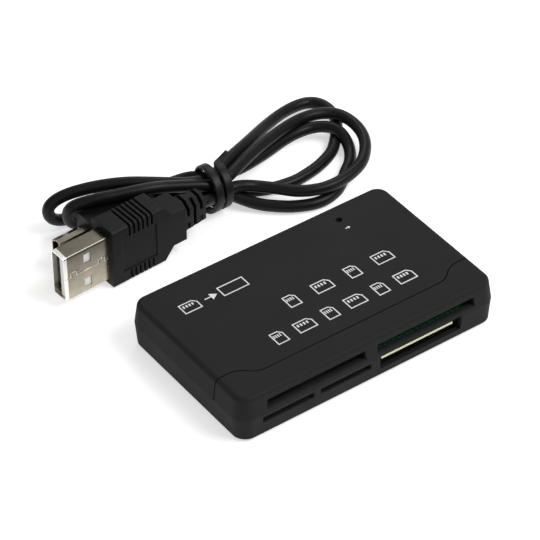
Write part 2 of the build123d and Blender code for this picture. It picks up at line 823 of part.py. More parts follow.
def bend_radii(points):
    """Largest tangent arc at each corner: 0.45 of the shorter run over the tangent of half the turn."""
    radii = []
    for before, corner, after in zip(points, points[1:], points[2:]):
        first = Vector(corner) - Vector(before)
        second = Vector(after) - Vector(corner)
        half_turn = radians(first.get_angle(second) / 2)
        radii.append(0.45 * min(first.length, second.length) / tan(half_turn))
    return radii


# Hank: a tied bundle with a single and a double loop to the right, two folds to the left and two leads
hank_z = bundle_radius + tie_clearance + tie_thickness
tall_loop = [
    (10.2, 48.3, 8.0), (15.0, 51.0, 8.2), (28.0, 58.8, 4.6), (40.5, 65.6, 1.7), (46.6, 65.0, 1.4),
    (48.9, 58.6, 1.4), (44.8, 51.0, 1.4), (37.5, 44.2, 1.4), (26.5, 41.2, 1.4), (15.5, 43.6, 1.5),
    (10.2, 48.0, 3.1),
]
double_loop = [
    (10.2, 46.4, 7.9), (16.0, 48.9, 6.9), (28.0, 53.6, 5.2), (38.5, 57.0, 4.1), (45.5, 55.4, 3.4),
    (47.6, 47.5, 2.8), (44.0, 39.0, 2.7), (36.0, 33.4, 2.7), (26.0, 32.2, 2.7), (18.0, 37.8, 2.8),
    (11.2, 45.2, 3.2),
]
near_fold = [
    (4.2, 45.0, 7.9), (-2.0, 46.4, 10.5), (-12.0, 48.9, 12.6), (-28.2, 54.0, 12.2), (-28.6, 56.2, 1.4),
    (-14.0, 57.0, 1.4), (0.4, 56.2, 1.4), (4.0, 48.8, 3.4),
]
far_fold = [
    (4.2, 47.2, 8.4), (-1.8, 49.6, 10.0), (-12.5, 55.5, 11.2), (-28.9, 61.2, 10.2), (-29.6, 61.5, 1.4),
    (-15.0, 60.8, 1.4), (-2.0, 58.8, 1.4), (2.2, 53.8, 5.0), (4.0, 49.2, 5.4),
]
a_lead_start = a_lead_face.origin
mini_lead_start = mini_lead_face.origin
a_lead_turn = a_lead_start + lead_straight * a_lead_face.z_dir
a_lead = [a_lead_start, a_lead_turn, (hank_x, hank_y - cord_diameter / 2, hank_z)]
mini_lead_turn = mini_lead_start + lead_straight * mini_lead_face.z_dir
mini_lead = [mini_lead_start, mini_lead_turn, (hank_x, hank_y, hank_z)]
strands = [
    (tall_loop, cord_diameter),
    (double_loop, pair_diameter),
    (near_fold, cord_diameter),
    (far_fold, cord_diameter),
    (a_lead, cord_diameter),
    (mini_lead, cord_diameter),
]
with BuildPart() as cable_hank:
    with BuildSketch(Plane.YZ.offset(hank_x - bundle_left)):
        with Locations((hank_y, hank_z)):
            RegularPolygon(bundle_radius, bundle_sides)
    extrude(amount=bundle_left + bundle_right)
    for points, diameter in strands:
        radii = bend_radii(points)
        with BuildLine() as route:
            FilletPolyline(*points, radius=radii)
        path = route.wire()
        with BuildSketch(Plane(path @ 0, z_dir=path % 0)) as section:
            RegularPolygon(diameter / 2, cord_sides)
        tube = sweep(path=path)
        filled = tube.volume / (section.sketch.area * path.length)
        print("bend radii", [round(radius, 1) for radius in radii])
        print("length", round(path.length, 1), "volume over section times length", round(filled, 3))
keep(cable_hank, "cable_hank")

# Tie: two flat turns, loose over the top of the bundle, with a bar between them and a free end
with BuildPart() as cable_tie:
    tie_inside = bundle_radius + tie_slack
    tie_outside = tie_inside + tie_thickness
    turns = [hank_x - (tie_spacing + tie_width) / 2, hank_x + (tie_spacing - tie_width) / 2]
    with BuildSketch(*[Plane.YZ.offset(x) for x in turns]):
        with Locations((hank_y, tie_outside)):
            RegularPolygon(tie_outside, tie_sides)
            RegularPolygon(tie_inside, tie_sides, mode=Mode.SUBTRACT)
    extrude(amount=tie_width)
    axis = Plane((turns[0], hank_y, tie_outside), x_dir=(0, 1, 0), z_dir=(1, 0, 0))
    far_top = axis.rotated((0, 0, tie_tail_angle))
    with BuildSketch(far_top):
        with Locations((0, tie_inside)):
            Rectangle(tie_width, tie_thickness, align=(Align.CENTER, Align.MIN))
    extrude(amount=tie_spacing + tie_width)
    tail_foot = Location((0, tie_inside + tie_thickness / 2, tie_spacing), (-tie_tail_rise, 0, 0))
    with BuildSketch(Plane(far_top.location * tail_foot)):
        Rectangle(tie_width, tie_thickness)
    extrude(amount=tie_width + tie_tail)
keep(cable_tie, "cable_tie")
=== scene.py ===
from math import cos, pi, radians, sin

import bmesh
import bpy
from bpy.props import FloatProperty, FloatVectorProperty, PointerProperty
from mathutils import Matrix, Vector


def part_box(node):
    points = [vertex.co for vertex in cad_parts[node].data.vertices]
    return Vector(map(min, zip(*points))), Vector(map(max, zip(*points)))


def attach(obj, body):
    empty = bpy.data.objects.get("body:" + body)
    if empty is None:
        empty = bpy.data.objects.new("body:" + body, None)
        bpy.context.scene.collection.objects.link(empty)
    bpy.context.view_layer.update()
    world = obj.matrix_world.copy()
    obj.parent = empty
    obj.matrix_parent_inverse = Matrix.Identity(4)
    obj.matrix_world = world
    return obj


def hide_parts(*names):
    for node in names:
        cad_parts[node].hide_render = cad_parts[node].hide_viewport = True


bl_info = {
    "name": "Card reader and lead",
    "version": (1, 0, 0),
    "blender": (4, 5, 0),
    "location": "View3D > Sidebar > Card reader",
    "description": "Dresses a flat card reader, its plugs and its tied lead, and sets up a white studio",
    "category": "Object",
}

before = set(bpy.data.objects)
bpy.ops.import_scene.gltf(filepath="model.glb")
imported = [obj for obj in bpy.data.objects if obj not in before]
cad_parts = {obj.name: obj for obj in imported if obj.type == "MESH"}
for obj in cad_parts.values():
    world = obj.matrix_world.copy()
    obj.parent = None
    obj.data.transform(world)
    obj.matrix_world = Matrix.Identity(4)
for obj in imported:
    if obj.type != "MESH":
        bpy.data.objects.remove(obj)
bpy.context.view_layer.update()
ROOT = "root"
MM = 0.001

SOCKETS = ["upper_left", "upper_right", "lower_left", "lower_middle", "lower_right"]

# Route of the cord in millimetres, from inside the large plug to inside the small one.
LARGE_PLUG_END = [
    (-3.8, 41.5, 7.75), (-0.8, 41.7, 7.75), (1.6, 42.0, 7.5), (3.6, 43.1, 6.0), (5.4, 44.0, 5.1),
    (9.4, 44.0, 6.0),
]
WIDE_LOOP = [
    (12.6, 43.9, 5.2), (15.6, 42.8, 4.3), (19.1, 39.3, 4.2), (22.0, 35.8, 4.2), (26.2, 33.6, 4.2),
    (30.6, 33.0, 4.2), (35.8, 33.9, 4.2), (40.3, 35.9, 4.2), (44.2, 39.9, 4.2), (46.5, 44.2, 4.2),
    (47.3, 49.4, 4.2), (46.1, 54.0, 4.2), (42.3, 56.2, 4.4), (37.2, 56.5, 4.9), (30.2, 54.3, 6.1),
    (20.2, 50.2, 7.6), (12.6, 46.6, 8.3),
]
NEAR_FOLD = [
    (9.4, 45.4, 8.1), (5.2, 45.0, 7.9), (1.8, 46.0, 9.0), (-2.2, 46.8, 10.2), (-8.4, 48.0, 12.0),
    (-15.9, 50.2, 12.2), (-22.6, 52.4, 12.2), (-26.2, 54.2, 11.1), (-26.6, 55.6, 7.9), (-25.0, 56.4, 4.2),
    (-20.6, 56.9, 1.8), (-13.5, 56.6, 1.4), (-6.0, 56.2, 1.4), (0.2, 54.8, 1.4), (3.6, 50.7, 2.8),
    (5.4, 48.8, 3.8),
]
TALL_LOOP = [
    (9.4, 48.2, 3.7), (12.6, 46.0, 2.4), (17.5, 43.5, 1.5), (24.9, 42.0, 1.4), (29.0, 42.4, 1.4),
    (33.4, 43.3, 1.4), (38.4, 45.4, 1.4), (41.2, 47.9, 1.4), (43.4, 50.4, 1.4), (46.5, 54.0, 1.4),
    (48.0, 58.8, 1.4), (47.3, 62.5, 1.4), (44.6, 64.6, 1.4), (38.6, 64.0, 2.0), (30.4, 60.2, 3.8),
    (21.4, 54.6, 6.6), (13.2, 50.4, 8.4),
]
FAR_FOLD = [
    (9.4, 48.3, 8.1), (5.2, 47.6, 8.2), (1.6, 48.0, 8.3), (-5.4, 50.8, 10.1), (-12.0, 55.0, 10.7),
    (-19.0, 58.3, 10.4), (-25.0, 60.3, 9.6), (-28.4, 61.0, 7.6), (-27.8, 61.2, 3.9), (-24.4, 61.3, 1.5),
    (-17.5, 60.8, 1.4), (-9.5, 60.0, 1.4), (-2.6, 58.4, 1.6), (2.4, 55.0, 4.4), (4.2, 51.8, 6.7),
    (5.8, 49.7, 6.9),
]
LOW_LOOP = [
    (9.6, 49.5, 5.6), (15.4, 48.9, 5.4), (24.2, 51.4, 4.2), (31.9, 54.2, 3.2), (37.6, 54.6, 3.0),
    (41.2, 53.0, 3.3), (43.2, 49.8, 3.6), (43.4, 46.6, 2.6), (42.4, 43.5, 1.5), (39.9, 40.2, 1.4),
    (36.6, 37.8, 1.4), (34.0, 35.4, 1.4), (30.6, 33.2, 1.4), (25.6, 32.4, 1.4), (20.4, 34.4, 1.5),
    (16.7, 37.2, 1.6), (13.9, 40.0, 1.7), (11.4, 42.9, 2.6),
]
SMALL_PLUG_END = [
    (9.4, 45.3, 3.6), (5.4, 46.2, 3.3), (3.0, 48.6, 3.8), (0.6, 50.8, 5.1), (-2.0, 50.85, 5.3),
    (-5.0, 50.65, 5.3),
]

# Print on the cover in millimetres. Each row lies so far behind the cover's front edge and has so many
# pictures at a pitch, counted to the left from the one in line with the indicator.
PICTURE_ROWS = [(5.9, 6, 6.6), (13.8, 4, 8.0)]
CARD_SIZES = [(4.6, 3.4), (3.0, 3.8)]
TITLE_CARD = (4.4, 3.2)
TITLE_PLACE = (-42.4, 25.0, 0.0)
LAMP_MARK = (0.0, 26.2, 0.0)
INK_THICKNESS = 0.02

# Joint in the large plug's shell in millimetres, from the tip and up from the middle, and its bead.
JOINT = [
    (0.4, 0.15), (2.0, 0.15), (1.8, 1.25), (3.6, 1.25), (3.4, 0.15), (9.4, 0.15), (9.2, 1.25), (11.0, 1.25),
    (10.8, 0.15), (11.9, 0.15),
]
JOINT_RADIUS = 0.15
JOINT_PROUD = -0.02
PLUG_YAW = radians(3.3)

# Tie: turns round the bundle, then a fold on edge and a straight tail, both drawn in step by step. The
# pitch and the fold's centre are shares of the tie's width, and the corner is one of its thickness.
TIE_TURNS = 1.5
TIE_STEPS = 90
TIE_PITCH = 1.25
TIE_CORNER = 0.4
FOLD_CENTRE = 0.65
FOLD_STEPS = 8
FOLD_ANGLE = radians(-9)
FOLD_NARROWING = 0.96
TAIL_STEPS = 4
TAIL_STEP = (0.0007, 0.00023, 0.00022)
TAIL_NARROWING = 0.88

# Colours of the plain mouldings and platings.
BLACK = (0.012, 0.012, 0.012)
WHITE = (0.93, 0.93, 0.91)
CERAMIC = (0.30, 0.20, 0.11)
STEEL = (0.62, 0.60, 0.56)
GOLD = (0.86, 0.60, 0.24)
# Near-white painted highlight on the tip of the plug shell's nickel.
PAINTED_TIP_HIGHLIGHT = (0.95, 0.93, 0.88)
# Near-white painted highlight on the bead along the plug shell's joint.
JOINT_HIGHLIGHT = (0.92, 0.90, 0.84)
BOARD_MASK = (0.012, 0.085, 0.035)
BOARD_TRACK = (0.03, 0.19, 0.07)
BOARD_EDGE = (0.80, 0.76, 0.52)

# Studio: place and size of each light, where they aim, and the floor.
KEY_LIGHT = ((0.33, -0.37, 0.66), 0.4)
FILL_LIGHT = ((-0.55, -0.55, 0.4), 0.5)
BACK_LIGHT = ((0.14, 0.19, 0.2), 0.12)
LIGHT_AIM = (0.0, 0.02, 0.0)
FLOOR_REACH = 3.0
FLOOR_DROP = 0.00005
FLOOR_COLOUR = (0.82, 0.82, 0.82)
FLOOR_GLOW = 0.52
SENSOR_WIDTH = 36.0


class HousingSettings(bpy.types.PropertyGroup):
    """Finish of the reader itself."""

    colour: FloatVectorProperty(
        name="Housing", description="Colour of the moulded housing", subtype="COLOR",
        size=3, min=0.0, max=1.0, default=(0.0165, 0.0165, 0.0168),
    )
    roughness: FloatProperty(
        name="Roughness", description="Roughness of the housing's matt texture", subtype="FACTOR",
        min=0.0, max=1.0, default=0.6,
    )
    grain: FloatProperty(
        name="Grain", description="Width of one grain of the matt texture", unit="LENGTH",
        min=0.00005, max=0.002, default=0.00028,
    )
    print_colour: FloatVectorProperty(
        name="Print", description="Colour of the card pictures on the cover", subtype="COLOR",
        size=3, min=0.0, max=1.0, default=(0.78, 0.78, 0.77),
    )
    print_line: FloatProperty(
        name="Print line", description="Line width of the card pictures", unit="LENGTH",
        min=0.0001, max=0.001, default=0.00028,
    )


class LeadSettings(bpy.types.PropertyGroup):
    """Sizes and finishes of the lead."""

    diameter: FloatProperty(
        name="Cord diameter", description="Outside of the cord's jacket", unit="LENGTH",
        min=0.001, max=0.006, default=0.0028,
    )
    length: FloatProperty(
        name="Cord length", description="From one strain relief to the other", unit="LENGTH",
        min=0.2, max=1.0, default=0.48,
    )
    jacket: FloatVectorProperty(
        name="Jacket", description="Colour of the cord's jacket", subtype="COLOR",
        size=3, min=0.0, max=1.0, default=(0.006, 0.006, 0.0062),
    )
    grip: FloatVectorProperty(
        name="Grips", description="Colour of the moulded grips", subtype="COLOR",
        size=3, min=0.0, max=1.0, default=(0.0055, 0.0055, 0.0057),
    )
    shell: FloatVectorProperty(
        name="Plug shells", description="Colour of the nickel plating", subtype="COLOR",
        size=3, min=0.0, max=1.0, default=(0.43, 0.39, 0.31),
    )
    tie_radius: FloatProperty(
        name="Tie radius", description="Inside of the tie's turns", unit="LENGTH",
        min=0.003, max=0.01, default=0.0047,
    )
    tie_width: FloatProperty(
        name="Tie width", description="Width of the tie along the bundle", unit="LENGTH",
        min=0.0005, max=0.004, default=0.0021,
    )
    tie_thickness: FloatProperty(
        name="Tie thickness", description="Thickness of the tie", unit="LENGTH",
        min=0.0003, max=0.002, default=0.0009,
    )


class StudioSettings(bpy.types.PropertyGroup):
    """Camera, lights and floor."""

    azimuth: FloatProperty(
        name="Azimuth", description="Camera's turn round the reader", subtype="ANGLE",
        default=radians(-35.11114),
    )
    elevation: FloatProperty(
        name="Elevation", description="Camera's height above the horizon", subtype="ANGLE",
        default=radians(40.39243),
    )
    roll: FloatProperty(
        name="Roll", description="Camera's turn about its own axis", subtype="ANGLE",
        default=radians(0.84649),
    )
    distance: FloatProperty(
        name="Distance", description="From the camera to the reader", unit="LENGTH",
        min=0.1, max=5.0, default=0.6565528,
    )
    across: FloatProperty(
        name="Across", description="How far the reader lies right of the picture's middle",
        unit="LENGTH", default=0.0091473,
    )
    down: FloatProperty(
        name="Down", description="How far the reader lies below the picture's middle", unit="LENGTH",
        default=0.0128841,
    )
    lens: FloatProperty(
        name="Lens", description="Focal length in millimetres on a 36 mm sensor",
        min=10.0, max=400.0, default=203.92,
    )
    key: FloatProperty(
        name="Key light", description="Power of the large light overhead",
        unit="POWER", default=3.8,
    )
    fill: FloatProperty(
        name="Fill light", description="Power of the light beside the camera",
        unit="POWER", default=0.5,
    )
    back: FloatProperty(
        name="Back light", description="Power of the small light behind the reader",
        unit="POWER", default=0.12,
    )
    ambient: FloatProperty(
        name="Surrounding light", description="Strength of the even light from all round",
        default=0.4,
    )


class Finish:
    """Node tree of one finish, with the object coordinates that its patterns read."""

    def __init__(self, name):
        self.material = bpy.data.materials.new(name)
        self.material.use_nodes = True
        self.nodes = self.material.node_tree.nodes
        self.links = self.material.node_tree.links
        self.shader = self.nodes["Principled BSDF"]
        self.coords = self.nodes.new("ShaderNodeTexCoord").outputs["Object"]

    def set(self, **values):
        """Sets sockets of the shader, named with underscores for spaces."""
        for name, value in values.items():
            self.shader.inputs[name.replace("_", " ")].default_value = value

    def noise(self, width, detail=2.0, stretch=(1.0, 1.0, 1.0)):
        """Noise whose features are about width across, drawn out along stretched axes."""
        mapping = self.nodes.new("ShaderNodeMapping")
        mapping.inputs["Scale"].default_value = [1.0 / s for s in stretch]
        self.links.new(self.coords, mapping.inputs["Vector"])
        texture = self.nodes.new("ShaderNodeTexNoise")
        texture.inputs["Scale"].default_value = 1.0 / width
        texture.inputs["Detail"].default_value = detail
        self.links.new(mapping.outputs["Vector"], texture.inputs["Vector"])
        return texture.outputs["Fac"]

    def ramp(self, factor, low, high, stops=(0.3, 0.7)):
        """Blend of two colours over a factor."""
        ramp = self.nodes.new("ShaderNodeValToRGB")
        for element, at, colour in zip(ramp.color_ramp.elements, stops, (low, high)):
            element.position = at
            element.color = (*colour, 1.0)
        self.links.new(factor, ramp.inputs["Fac"])
        return ramp.outputs["Color"]

    def span(self, factor, low, high, start=0.3, end=0.7):
        """Value that runs from low to high over a factor."""
        span = self.nodes.new("ShaderNodeMapRange")
        span.inputs["From Min"].default_value = start
        span.inputs["From Max"].default_value = end
        span.inputs["To Min"].default_value = low
        span.inputs["To Max"].default_value = high
        self.links.new(factor, span.inputs["Value"])
        return span.outputs["Result"]

    def blend(self, share, output, colour):
        """Colour output that gives way to one plain colour where the share is 1."""
        blend = self.nodes.new("ShaderNodeMix")
        blend.data_type = "RGBA"
        below, above = [socket for socket in blend.inputs if socket.type == "RGBA"]
        self.links.new(share, blend.inputs["Factor"])
        self.links.new(output, below)
        above.default_value = (*colour, 1.0)
        return next(socket for socket in blend.outputs if socket.type == "RGBA")

    def join(self, output, name):
        """Links an output to a socket of the shader."""
        self.links.new(output, self.shader.inputs[name])

    def relief(self, heights, edge=0.0):
        """Softened edges and a chain of bumps: pairs of a height and the depth that it stands for."""
        normal = None
        if edge:
            bevel = self.nodes.new("ShaderNodeBevel")
            bevel.samples = 6
            bevel.inputs["Radius"].default_value = edge
            normal = bevel.outputs["Normal"]
        for height, depth in heights:
            bump = self.nodes.new("ShaderNodeBump")
            bump.inputs["Strength"].default_value = 1.0
            bump.inputs["Distance"].default_value = depth
            self.links.new(height, bump.inputs["Height"])
            if normal is not None:
                self.links.new(normal, bump.inputs["Normal"])
            normal = bump.outputs["Normal"]
        self.links.new(normal, self.shader.inputs["Normal"])


def shade(colour, amount):
    """A colour made lighter or darker."""
    return tuple(min(1.0, max(0.0, c * amount)) for c in colour)


def moulded(name, colour, roughness, grain, depth, mottle=0.12, gloss=0.5, edge=0.0):
    """Moulded plastic or rubber: a fine grain, faint mottling, uneven gloss and softened edges."""
    finish = Finish(name)
    finish.set(Specular_IOR_Level=gloss)
    fine = finish.noise(grain, detail=3.0)
    broad = finish.noise(0.011, detail=4.0)
    finish.join(finish.ramp(broad, shade(colour, 1 - mottle), shade(colour, 1 + mottle)), "Base Color")
    finish.join(finish.span(broad, roughness - 0.05, roughness + 0.06), "Roughness")
    finish.relief([(fine, depth), (broad, 0.00002)], edge)
    return finish.material


def plated(name, colour, roughness, along=(14.0, 1.0, 1.0), painted_light_box=None):
    """Plated or rolled sheet: fine drawing lines, faint stains and uneven gloss. Given the lower left
    corner of its box and its height, it also gets painted light: a painted highlight at its tip and a
    painted reflection, bright low down and darker towards the top."""
    finish = Finish(name)
    lines = finish.noise(0.00012, detail=4.0, stretch=along)
    stain = finish.noise(0.004, detail=3.0)
    finish.set(Metallic=1.0)
    # Real stains first; with a box given, painted light is laid over them below.
    stains_and_painted_light = finish.ramp(stain, shade(colour, 0.8), shade(colour, 1.12))
    if painted_light_box:
        corner, tall = painted_light_box
        place = finish.nodes.new("ShaderNodeSeparateXYZ")
        finish.links.new(finish.coords, place.inputs["Vector"])
        # Painted reflection: the colour is scaled from bright low down to darker at the top of the box.
        painted_reflection_fade = finish.span(place.outputs["Z"], 1.2, 0.38, corner.z, corner.z + tall)
        painted_reflection_scaled = finish.nodes.new("ShaderNodeVectorMath")
        painted_reflection_scaled.operation = "SCALE"
        finish.links.new(stains_and_painted_light, painted_reflection_scaled.inputs[0])
        finish.links.new(painted_reflection_fade, painted_reflection_scaled.inputs["Scale"])
        # Painted highlight: the tip, up to about a millimetre from the box's end, is coloured near white.
        painted_tip_highlight_mask = finish.span(place.outputs["X"], 1.0, 0.0, corner.x + 0.0010, corner.x + 0.0012)
        stains_and_painted_light = finish.blend(painted_tip_highlight_mask, painted_reflection_scaled.outputs["Vector"], PAINTED_TIP_HIGHLIGHT)
    finish.join(stains_and_painted_light, "Base Color")
    finish.join(finish.span(stain, roughness - 0.03, roughness + 0.05), "Roughness")
    finish.relief([(lines, 0.0000001)])
    return finish.material


def solder_mask(name):
    """Green circuit board with lighter tracks under its mask and cream edges with no mask."""
    finish = Finish(name)
    tracks = finish.nodes.new("ShaderNodeTexWave")
    tracks.inputs["Scale"].default_value = 260.0
    tracks.inputs["Distortion"].default_value = 5.0
    tracks.inputs["Detail"].default_value = 1.0
    finish.links.new(finish.coords, tracks.inputs["Vector"])
    mask = finish.ramp(tracks.outputs["Fac"], BOARD_MASK, BOARD_TRACK, stops=(0.55, 0.7))
    surface = finish.nodes.new("ShaderNodeNewGeometry")
    facing = finish.nodes.new("ShaderNodeSeparateXYZ")
    finish.links.new(surface.outputs["Normal"], facing.inputs["Vector"])
    upright = finish.nodes.new("ShaderNodeMath")
    upright.operation = "ABSOLUTE"
    finish.links.new(facing.outputs["Z"], upright.inputs[0])
    cut = finish.span(upright.outputs["Value"], 1.0, 0.0)
    finish.join(finish.blend(cut, mask, BOARD_EDGE), "Base Color")
    finish.set(Roughness=0.32)
    finish.relief([(tracks.outputs["Fac"], 0.00002)])
    return finish.material


def clear_lens(name):
    """Tinted clear plastic of the indicator."""
    finish = Finish(name)
    haze = finish.noise(0.0008)
    finish.join(finish.ramp(haze, (0.10, 0.26, 0.12), (0.16, 0.36, 0.18)), "Base Color")
    finish.set(Roughness=0.18, IOR=1.5)
    finish.relief([(haze, 0.00001)])
    return finish.material


def dress(material, *names):
    """Gives CAD nodes their finish."""
    for name in names:
        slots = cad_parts[name].data.materials
        slots.clear()
        slots.append(material)


def piece(name, mesh_or_curve, material):
    """Object of the part at the origin, riding on the reader."""
    made = bpy.data.objects.new(name, mesh_or_curve)
    bpy.context.scene.collection.objects.link(made)
    mesh_or_curve.materials.append(material)
    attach(made, ROOT)
    return made


def mesh_from(bm, name, smooth=True):
    """Mesh of a bmesh, which is freed."""
    mesh = bpy.data.meshes.new(name)
    for face in bm.faces:
        face.smooth = smooth
    bm.to_mesh(mesh)
    bm.free()
    return mesh


class READER_OT_housing(bpy.types.Operator):
    """Give the tray, fascia and cover their matt grained plastic"""

    bl_idname = "reader.housing"
    bl_label = "Housing"

    def execute(self, context):
        look = context.scene.reader_housing
        plastic = moulded(
            "housing_plastic", look.colour, look.roughness, look.grain,
            depth=0.000016, mottle=0.06, gloss=0.12, edge=0.0002,
        )
        dress(plastic, "bottom_shell", "top_cover")
        return {"FINISHED"}


class READER_OT_inside(bpy.types.Operator):
    """Give the board, sockets and small parts inside the housing their finishes"""

    bl_idname = "reader.inside"
    bl_label = "Board and sockets"

    def execute(self, context):
        black = moulded("socket_plastic", BLACK, 0.5, grain=0.0002, depth=0.000006)
        steel = plated("socket_sheet", STEEL, 0.3)
        gold = plated("contact_plating", GOLD, 0.22, along=(1.0, 10.0, 1.0))
        ceramic = moulded("fired_ceramic", CERAMIC, 0.6, grain=0.0001, depth=0.000004)
        for name in SOCKETS:
            dress(black, f"{name}_socket_body")
            dress(steel, f"{name}_socket_shield")
            dress(gold, f"{name}_socket_contacts")
        dress(black, "rear_card_header", "mini_socket_tongue")
        dress(black, "controller_chip", "voltage_regulator", "chip_resistors")
        dress(steel, "mini_socket_shell", "crystal_can")
        dress(gold, "rear_card_pins", "mini_socket_contacts")
        dress(solder_mask("solder_mask"), "main_board")
        dress(ceramic, "chip_capacitors")
        dress(clear_lens("indicator_lens"), "indicator_led")
        return {"FINISHED"}


class READER_OT_print(bpy.types.Operator):
    """Print rows of small card outlines on the cover, with an arrow and a mark beside the indicator"""

    bl_idname = "reader.card_pictures"
    bl_label = "Card pictures"

    def execute(self, context):
        look = context.scene.reader_housing
        line = look.print_line
        cover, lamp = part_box("top_cover"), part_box("indicator_led")
        last = Vector(((lamp[0].x + lamp[1].x) / 2, cover[0].y, cover[1].z))
        bm = bmesh.new()
        for back, count, pitch in PICTURE_ROWS:
            for i in range(count):
                wide, high = CARD_SIZES[i % len(CARD_SIZES)]
                place = last + Vector((-i * pitch, back, 0)) * MM
                self.card(bm, place, wide * MM, high * MM, line)
        first = last + Vector(TITLE_PLACE) * MM
        wide, high = (size * MM for size in TITLE_CARD)
        self.card(bm, first, wide, high, line)
        self.arrow(bm, first + Vector((1.2 * wide, 0, 0)), high, line)
        self.ring(bm, first + Vector((2.5 * wide, 0, 0)), self.box(1.5 * wide, high), line)
        self.arrow(bm, last + Vector(LAMP_MARK) * MM, 0.4 * high, line)
        lifted = bmesh.ops.extrude_face_region(bm, geom=bm.faces[:], use_keep_orig=True)["geom"]
        raised = [part for part in lifted if isinstance(part, bmesh.types.BMVert)]
        bmesh.ops.translate(bm, vec=(0, 0, INK_THICKNESS * MM), verts=raised)
        bmesh.ops.recalc_face_normals(bm, faces=bm.faces)
        ink = moulded("print_ink", look.print_colour, 0.55, grain=0.0002, depth=0.000004)
        piece("card_pictures", mesh_from(bm, "card_pictures", smooth=False), ink)
        return {"FINISHED"}

    @staticmethod
    def box(wide, high):
        """Corners of a rectangle about its middle."""
        return [(-wide / 2, -high / 2), (wide / 2, -high / 2), (wide / 2, high / 2), (-wide / 2, high / 2)]

    @staticmethod
    def fill(bm, place, corners):
        """Flat printed shape."""
        face = bm.faces.new([bm.verts.new(place + Vector((u, v, 0))) for u, v in corners])
        face.normal_update()
        return face

    @classmethod
    def ring(cls, bm, place, corners, line):
        """Outline of a shape, a line wide."""
        face = cls.fill(bm, place, corners)
        bmesh.ops.inset_region(
            bm, faces=[face], thickness=line, use_boundary=True, use_even_offset=True,
        )
        bmesh.ops.delete(bm, geom=[face], context="FACES_ONLY")

    @classmethod
    def card(cls, bm, place, wide, high, line):
        """Outline of a card with a cut corner, and its row of contacts."""
        cut = 0.3 * min(wide, high)
        corners = cls.box(wide, high)
        corners[2:3] = [(wide / 2, high / 2 - cut), (wide / 2 - cut, high / 2)]
        cls.ring(bm, place, corners, line)
        for i in range(4):
            bar = Vector(((i - 1.8) * 0.17 * wide, 0.16 * high, 0))
            cls.fill(bm, place + bar, cls.box(0.09 * wide, 0.24 * high))

    @classmethod
    def arrow(cls, bm, place, high, line):
        """Arrow that points to the right."""
        cls.fill(bm, place, [(0, -high / 3), (high / 2, 0), (0, high / 3)])
        cls.fill(bm, place - Vector((high / 4, 0, 0)), cls.box(high / 2, line))


class LEAD_OT_plugs(bpy.types.Operator):
    """Give both plugs their plating, plastic and rubber"""

    bl_idname = "lead.plugs"
    bl_label = "Plugs"

    def execute(self, context):
        look = context.scene.reader_lead
        low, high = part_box("a_plug_shell")
        # The nickel gets painted light in the large shell's box: a painted reflection that darkens upward
        # and a painted highlight at the tip.
        nickel = plated("plug_nickel", look.shell, 0.26, painted_light_box=(low, high.z - low.z))
        gold = plated("plug_contact_plating", GOLD, 0.22)
        rubber = moulded(
            "grip_rubber", look.grip, 0.45,
            grain=0.0005, depth=0.00003, mottle=0.4, gloss=0.14, edge=0.0002,
        )
        white = moulded("white_plastic", WHITE, 0.35, grain=0.0003, depth=0.000004, mottle=0.03)
        black = moulded("black_plastic", BLACK, 0.4, grain=0.0003, depth=0.000004)
        dress(nickel, "a_plug_shell", "mini_plug_shell")
        # The joint's bead is the real seam; its near-white colour is a painted highlight.
        self.joint(plated("joint_painted_highlight", JOINT_HIGHLIGHT, 0.4))
        dress(gold, "a_plug_contacts", "mini_plug_contacts")
        dress(white, "a_plug_insulator")
        dress(black, "mini_plug_insulator")
        dress(rubber, "a_plug_overmould", "mini_plug_overmould")
        return {"FINISHED"}

    @staticmethod
    def joint(metal):
        """Bead along the dovetailed joint in the large plug's shell, coloured near white as a painted
        highlight.
        """
        low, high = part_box("a_plug_shell")
        along = Vector((cos(PLUG_YAW), sin(PLUG_YAW), 0))
        front = Vector((sin(PLUG_YAW), -cos(PLUG_YAW), 0))
        tip = Vector((low.x, low.y, (low.z + high.z) / 2)) + JOINT_PROUD * MM * front
        curve = bpy.data.curves.new("shell_joint", "CURVE")
        curve.dimensions = "3D"
        curve.bevel_depth = JOINT_RADIUS * MM
        curve.use_fill_caps = True
        spline = curve.splines.new("POLY")
        spline.points.add(len(JOINT) - 1)
        for point, (reach, rise) in zip(spline.points, JOINT):
            point.co = (*(tip + reach * MM * along + Vector((0, 0, rise * MM))), 1.0)
        outline = bpy.data.objects.new("shell_joint_outline", curve)
        mesh = bpy.data.meshes.new_from_object(outline)
        bpy.data.objects.remove(outline)
        mesh.name = "shell_joint"
        piece("shell_joint", mesh, metal)


class LEAD_OT_cord(bpy.types.Operator):
    """Lay the cord from plug to plug through its loops and folds"""

    bl_idname = "lead.cord"
    bl_label = "Cord"

    def execute(self, context):
        look = context.scene.reader_lead
        route = [
            *LARGE_PLUG_END, *WIDE_LOOP, *NEAR_FOLD, *TALL_LOOP, *FAR_FOLD, *LOW_LOOP, *SMALL_PLUG_END,
        ]
        curve = bpy.data.curves.new("cord", "CURVE")
        curve.dimensions = "3D"
        curve.bevel_depth = look.diameter / 2
        curve.bevel_resolution = 6
        curve.resolution_u = 8
        curve.use_fill_caps = True
        spline = curve.splines.new("NURBS")
        spline.points.add(len(route) - 1)
        for point, place in zip(spline.points, route):
            point.co = (*(Vector(place) * MM), 1.0)
        spline.order_u = 3
        spline.use_endpoint_u = True
        jacket = moulded("cord_jacket", look.jacket, 0.38, grain=0.0006, depth=0.000012, gloss=0.18)
        cord = piece("cord", curve, jacket)
        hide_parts("cable_hank")
        return {"FINISHED"}


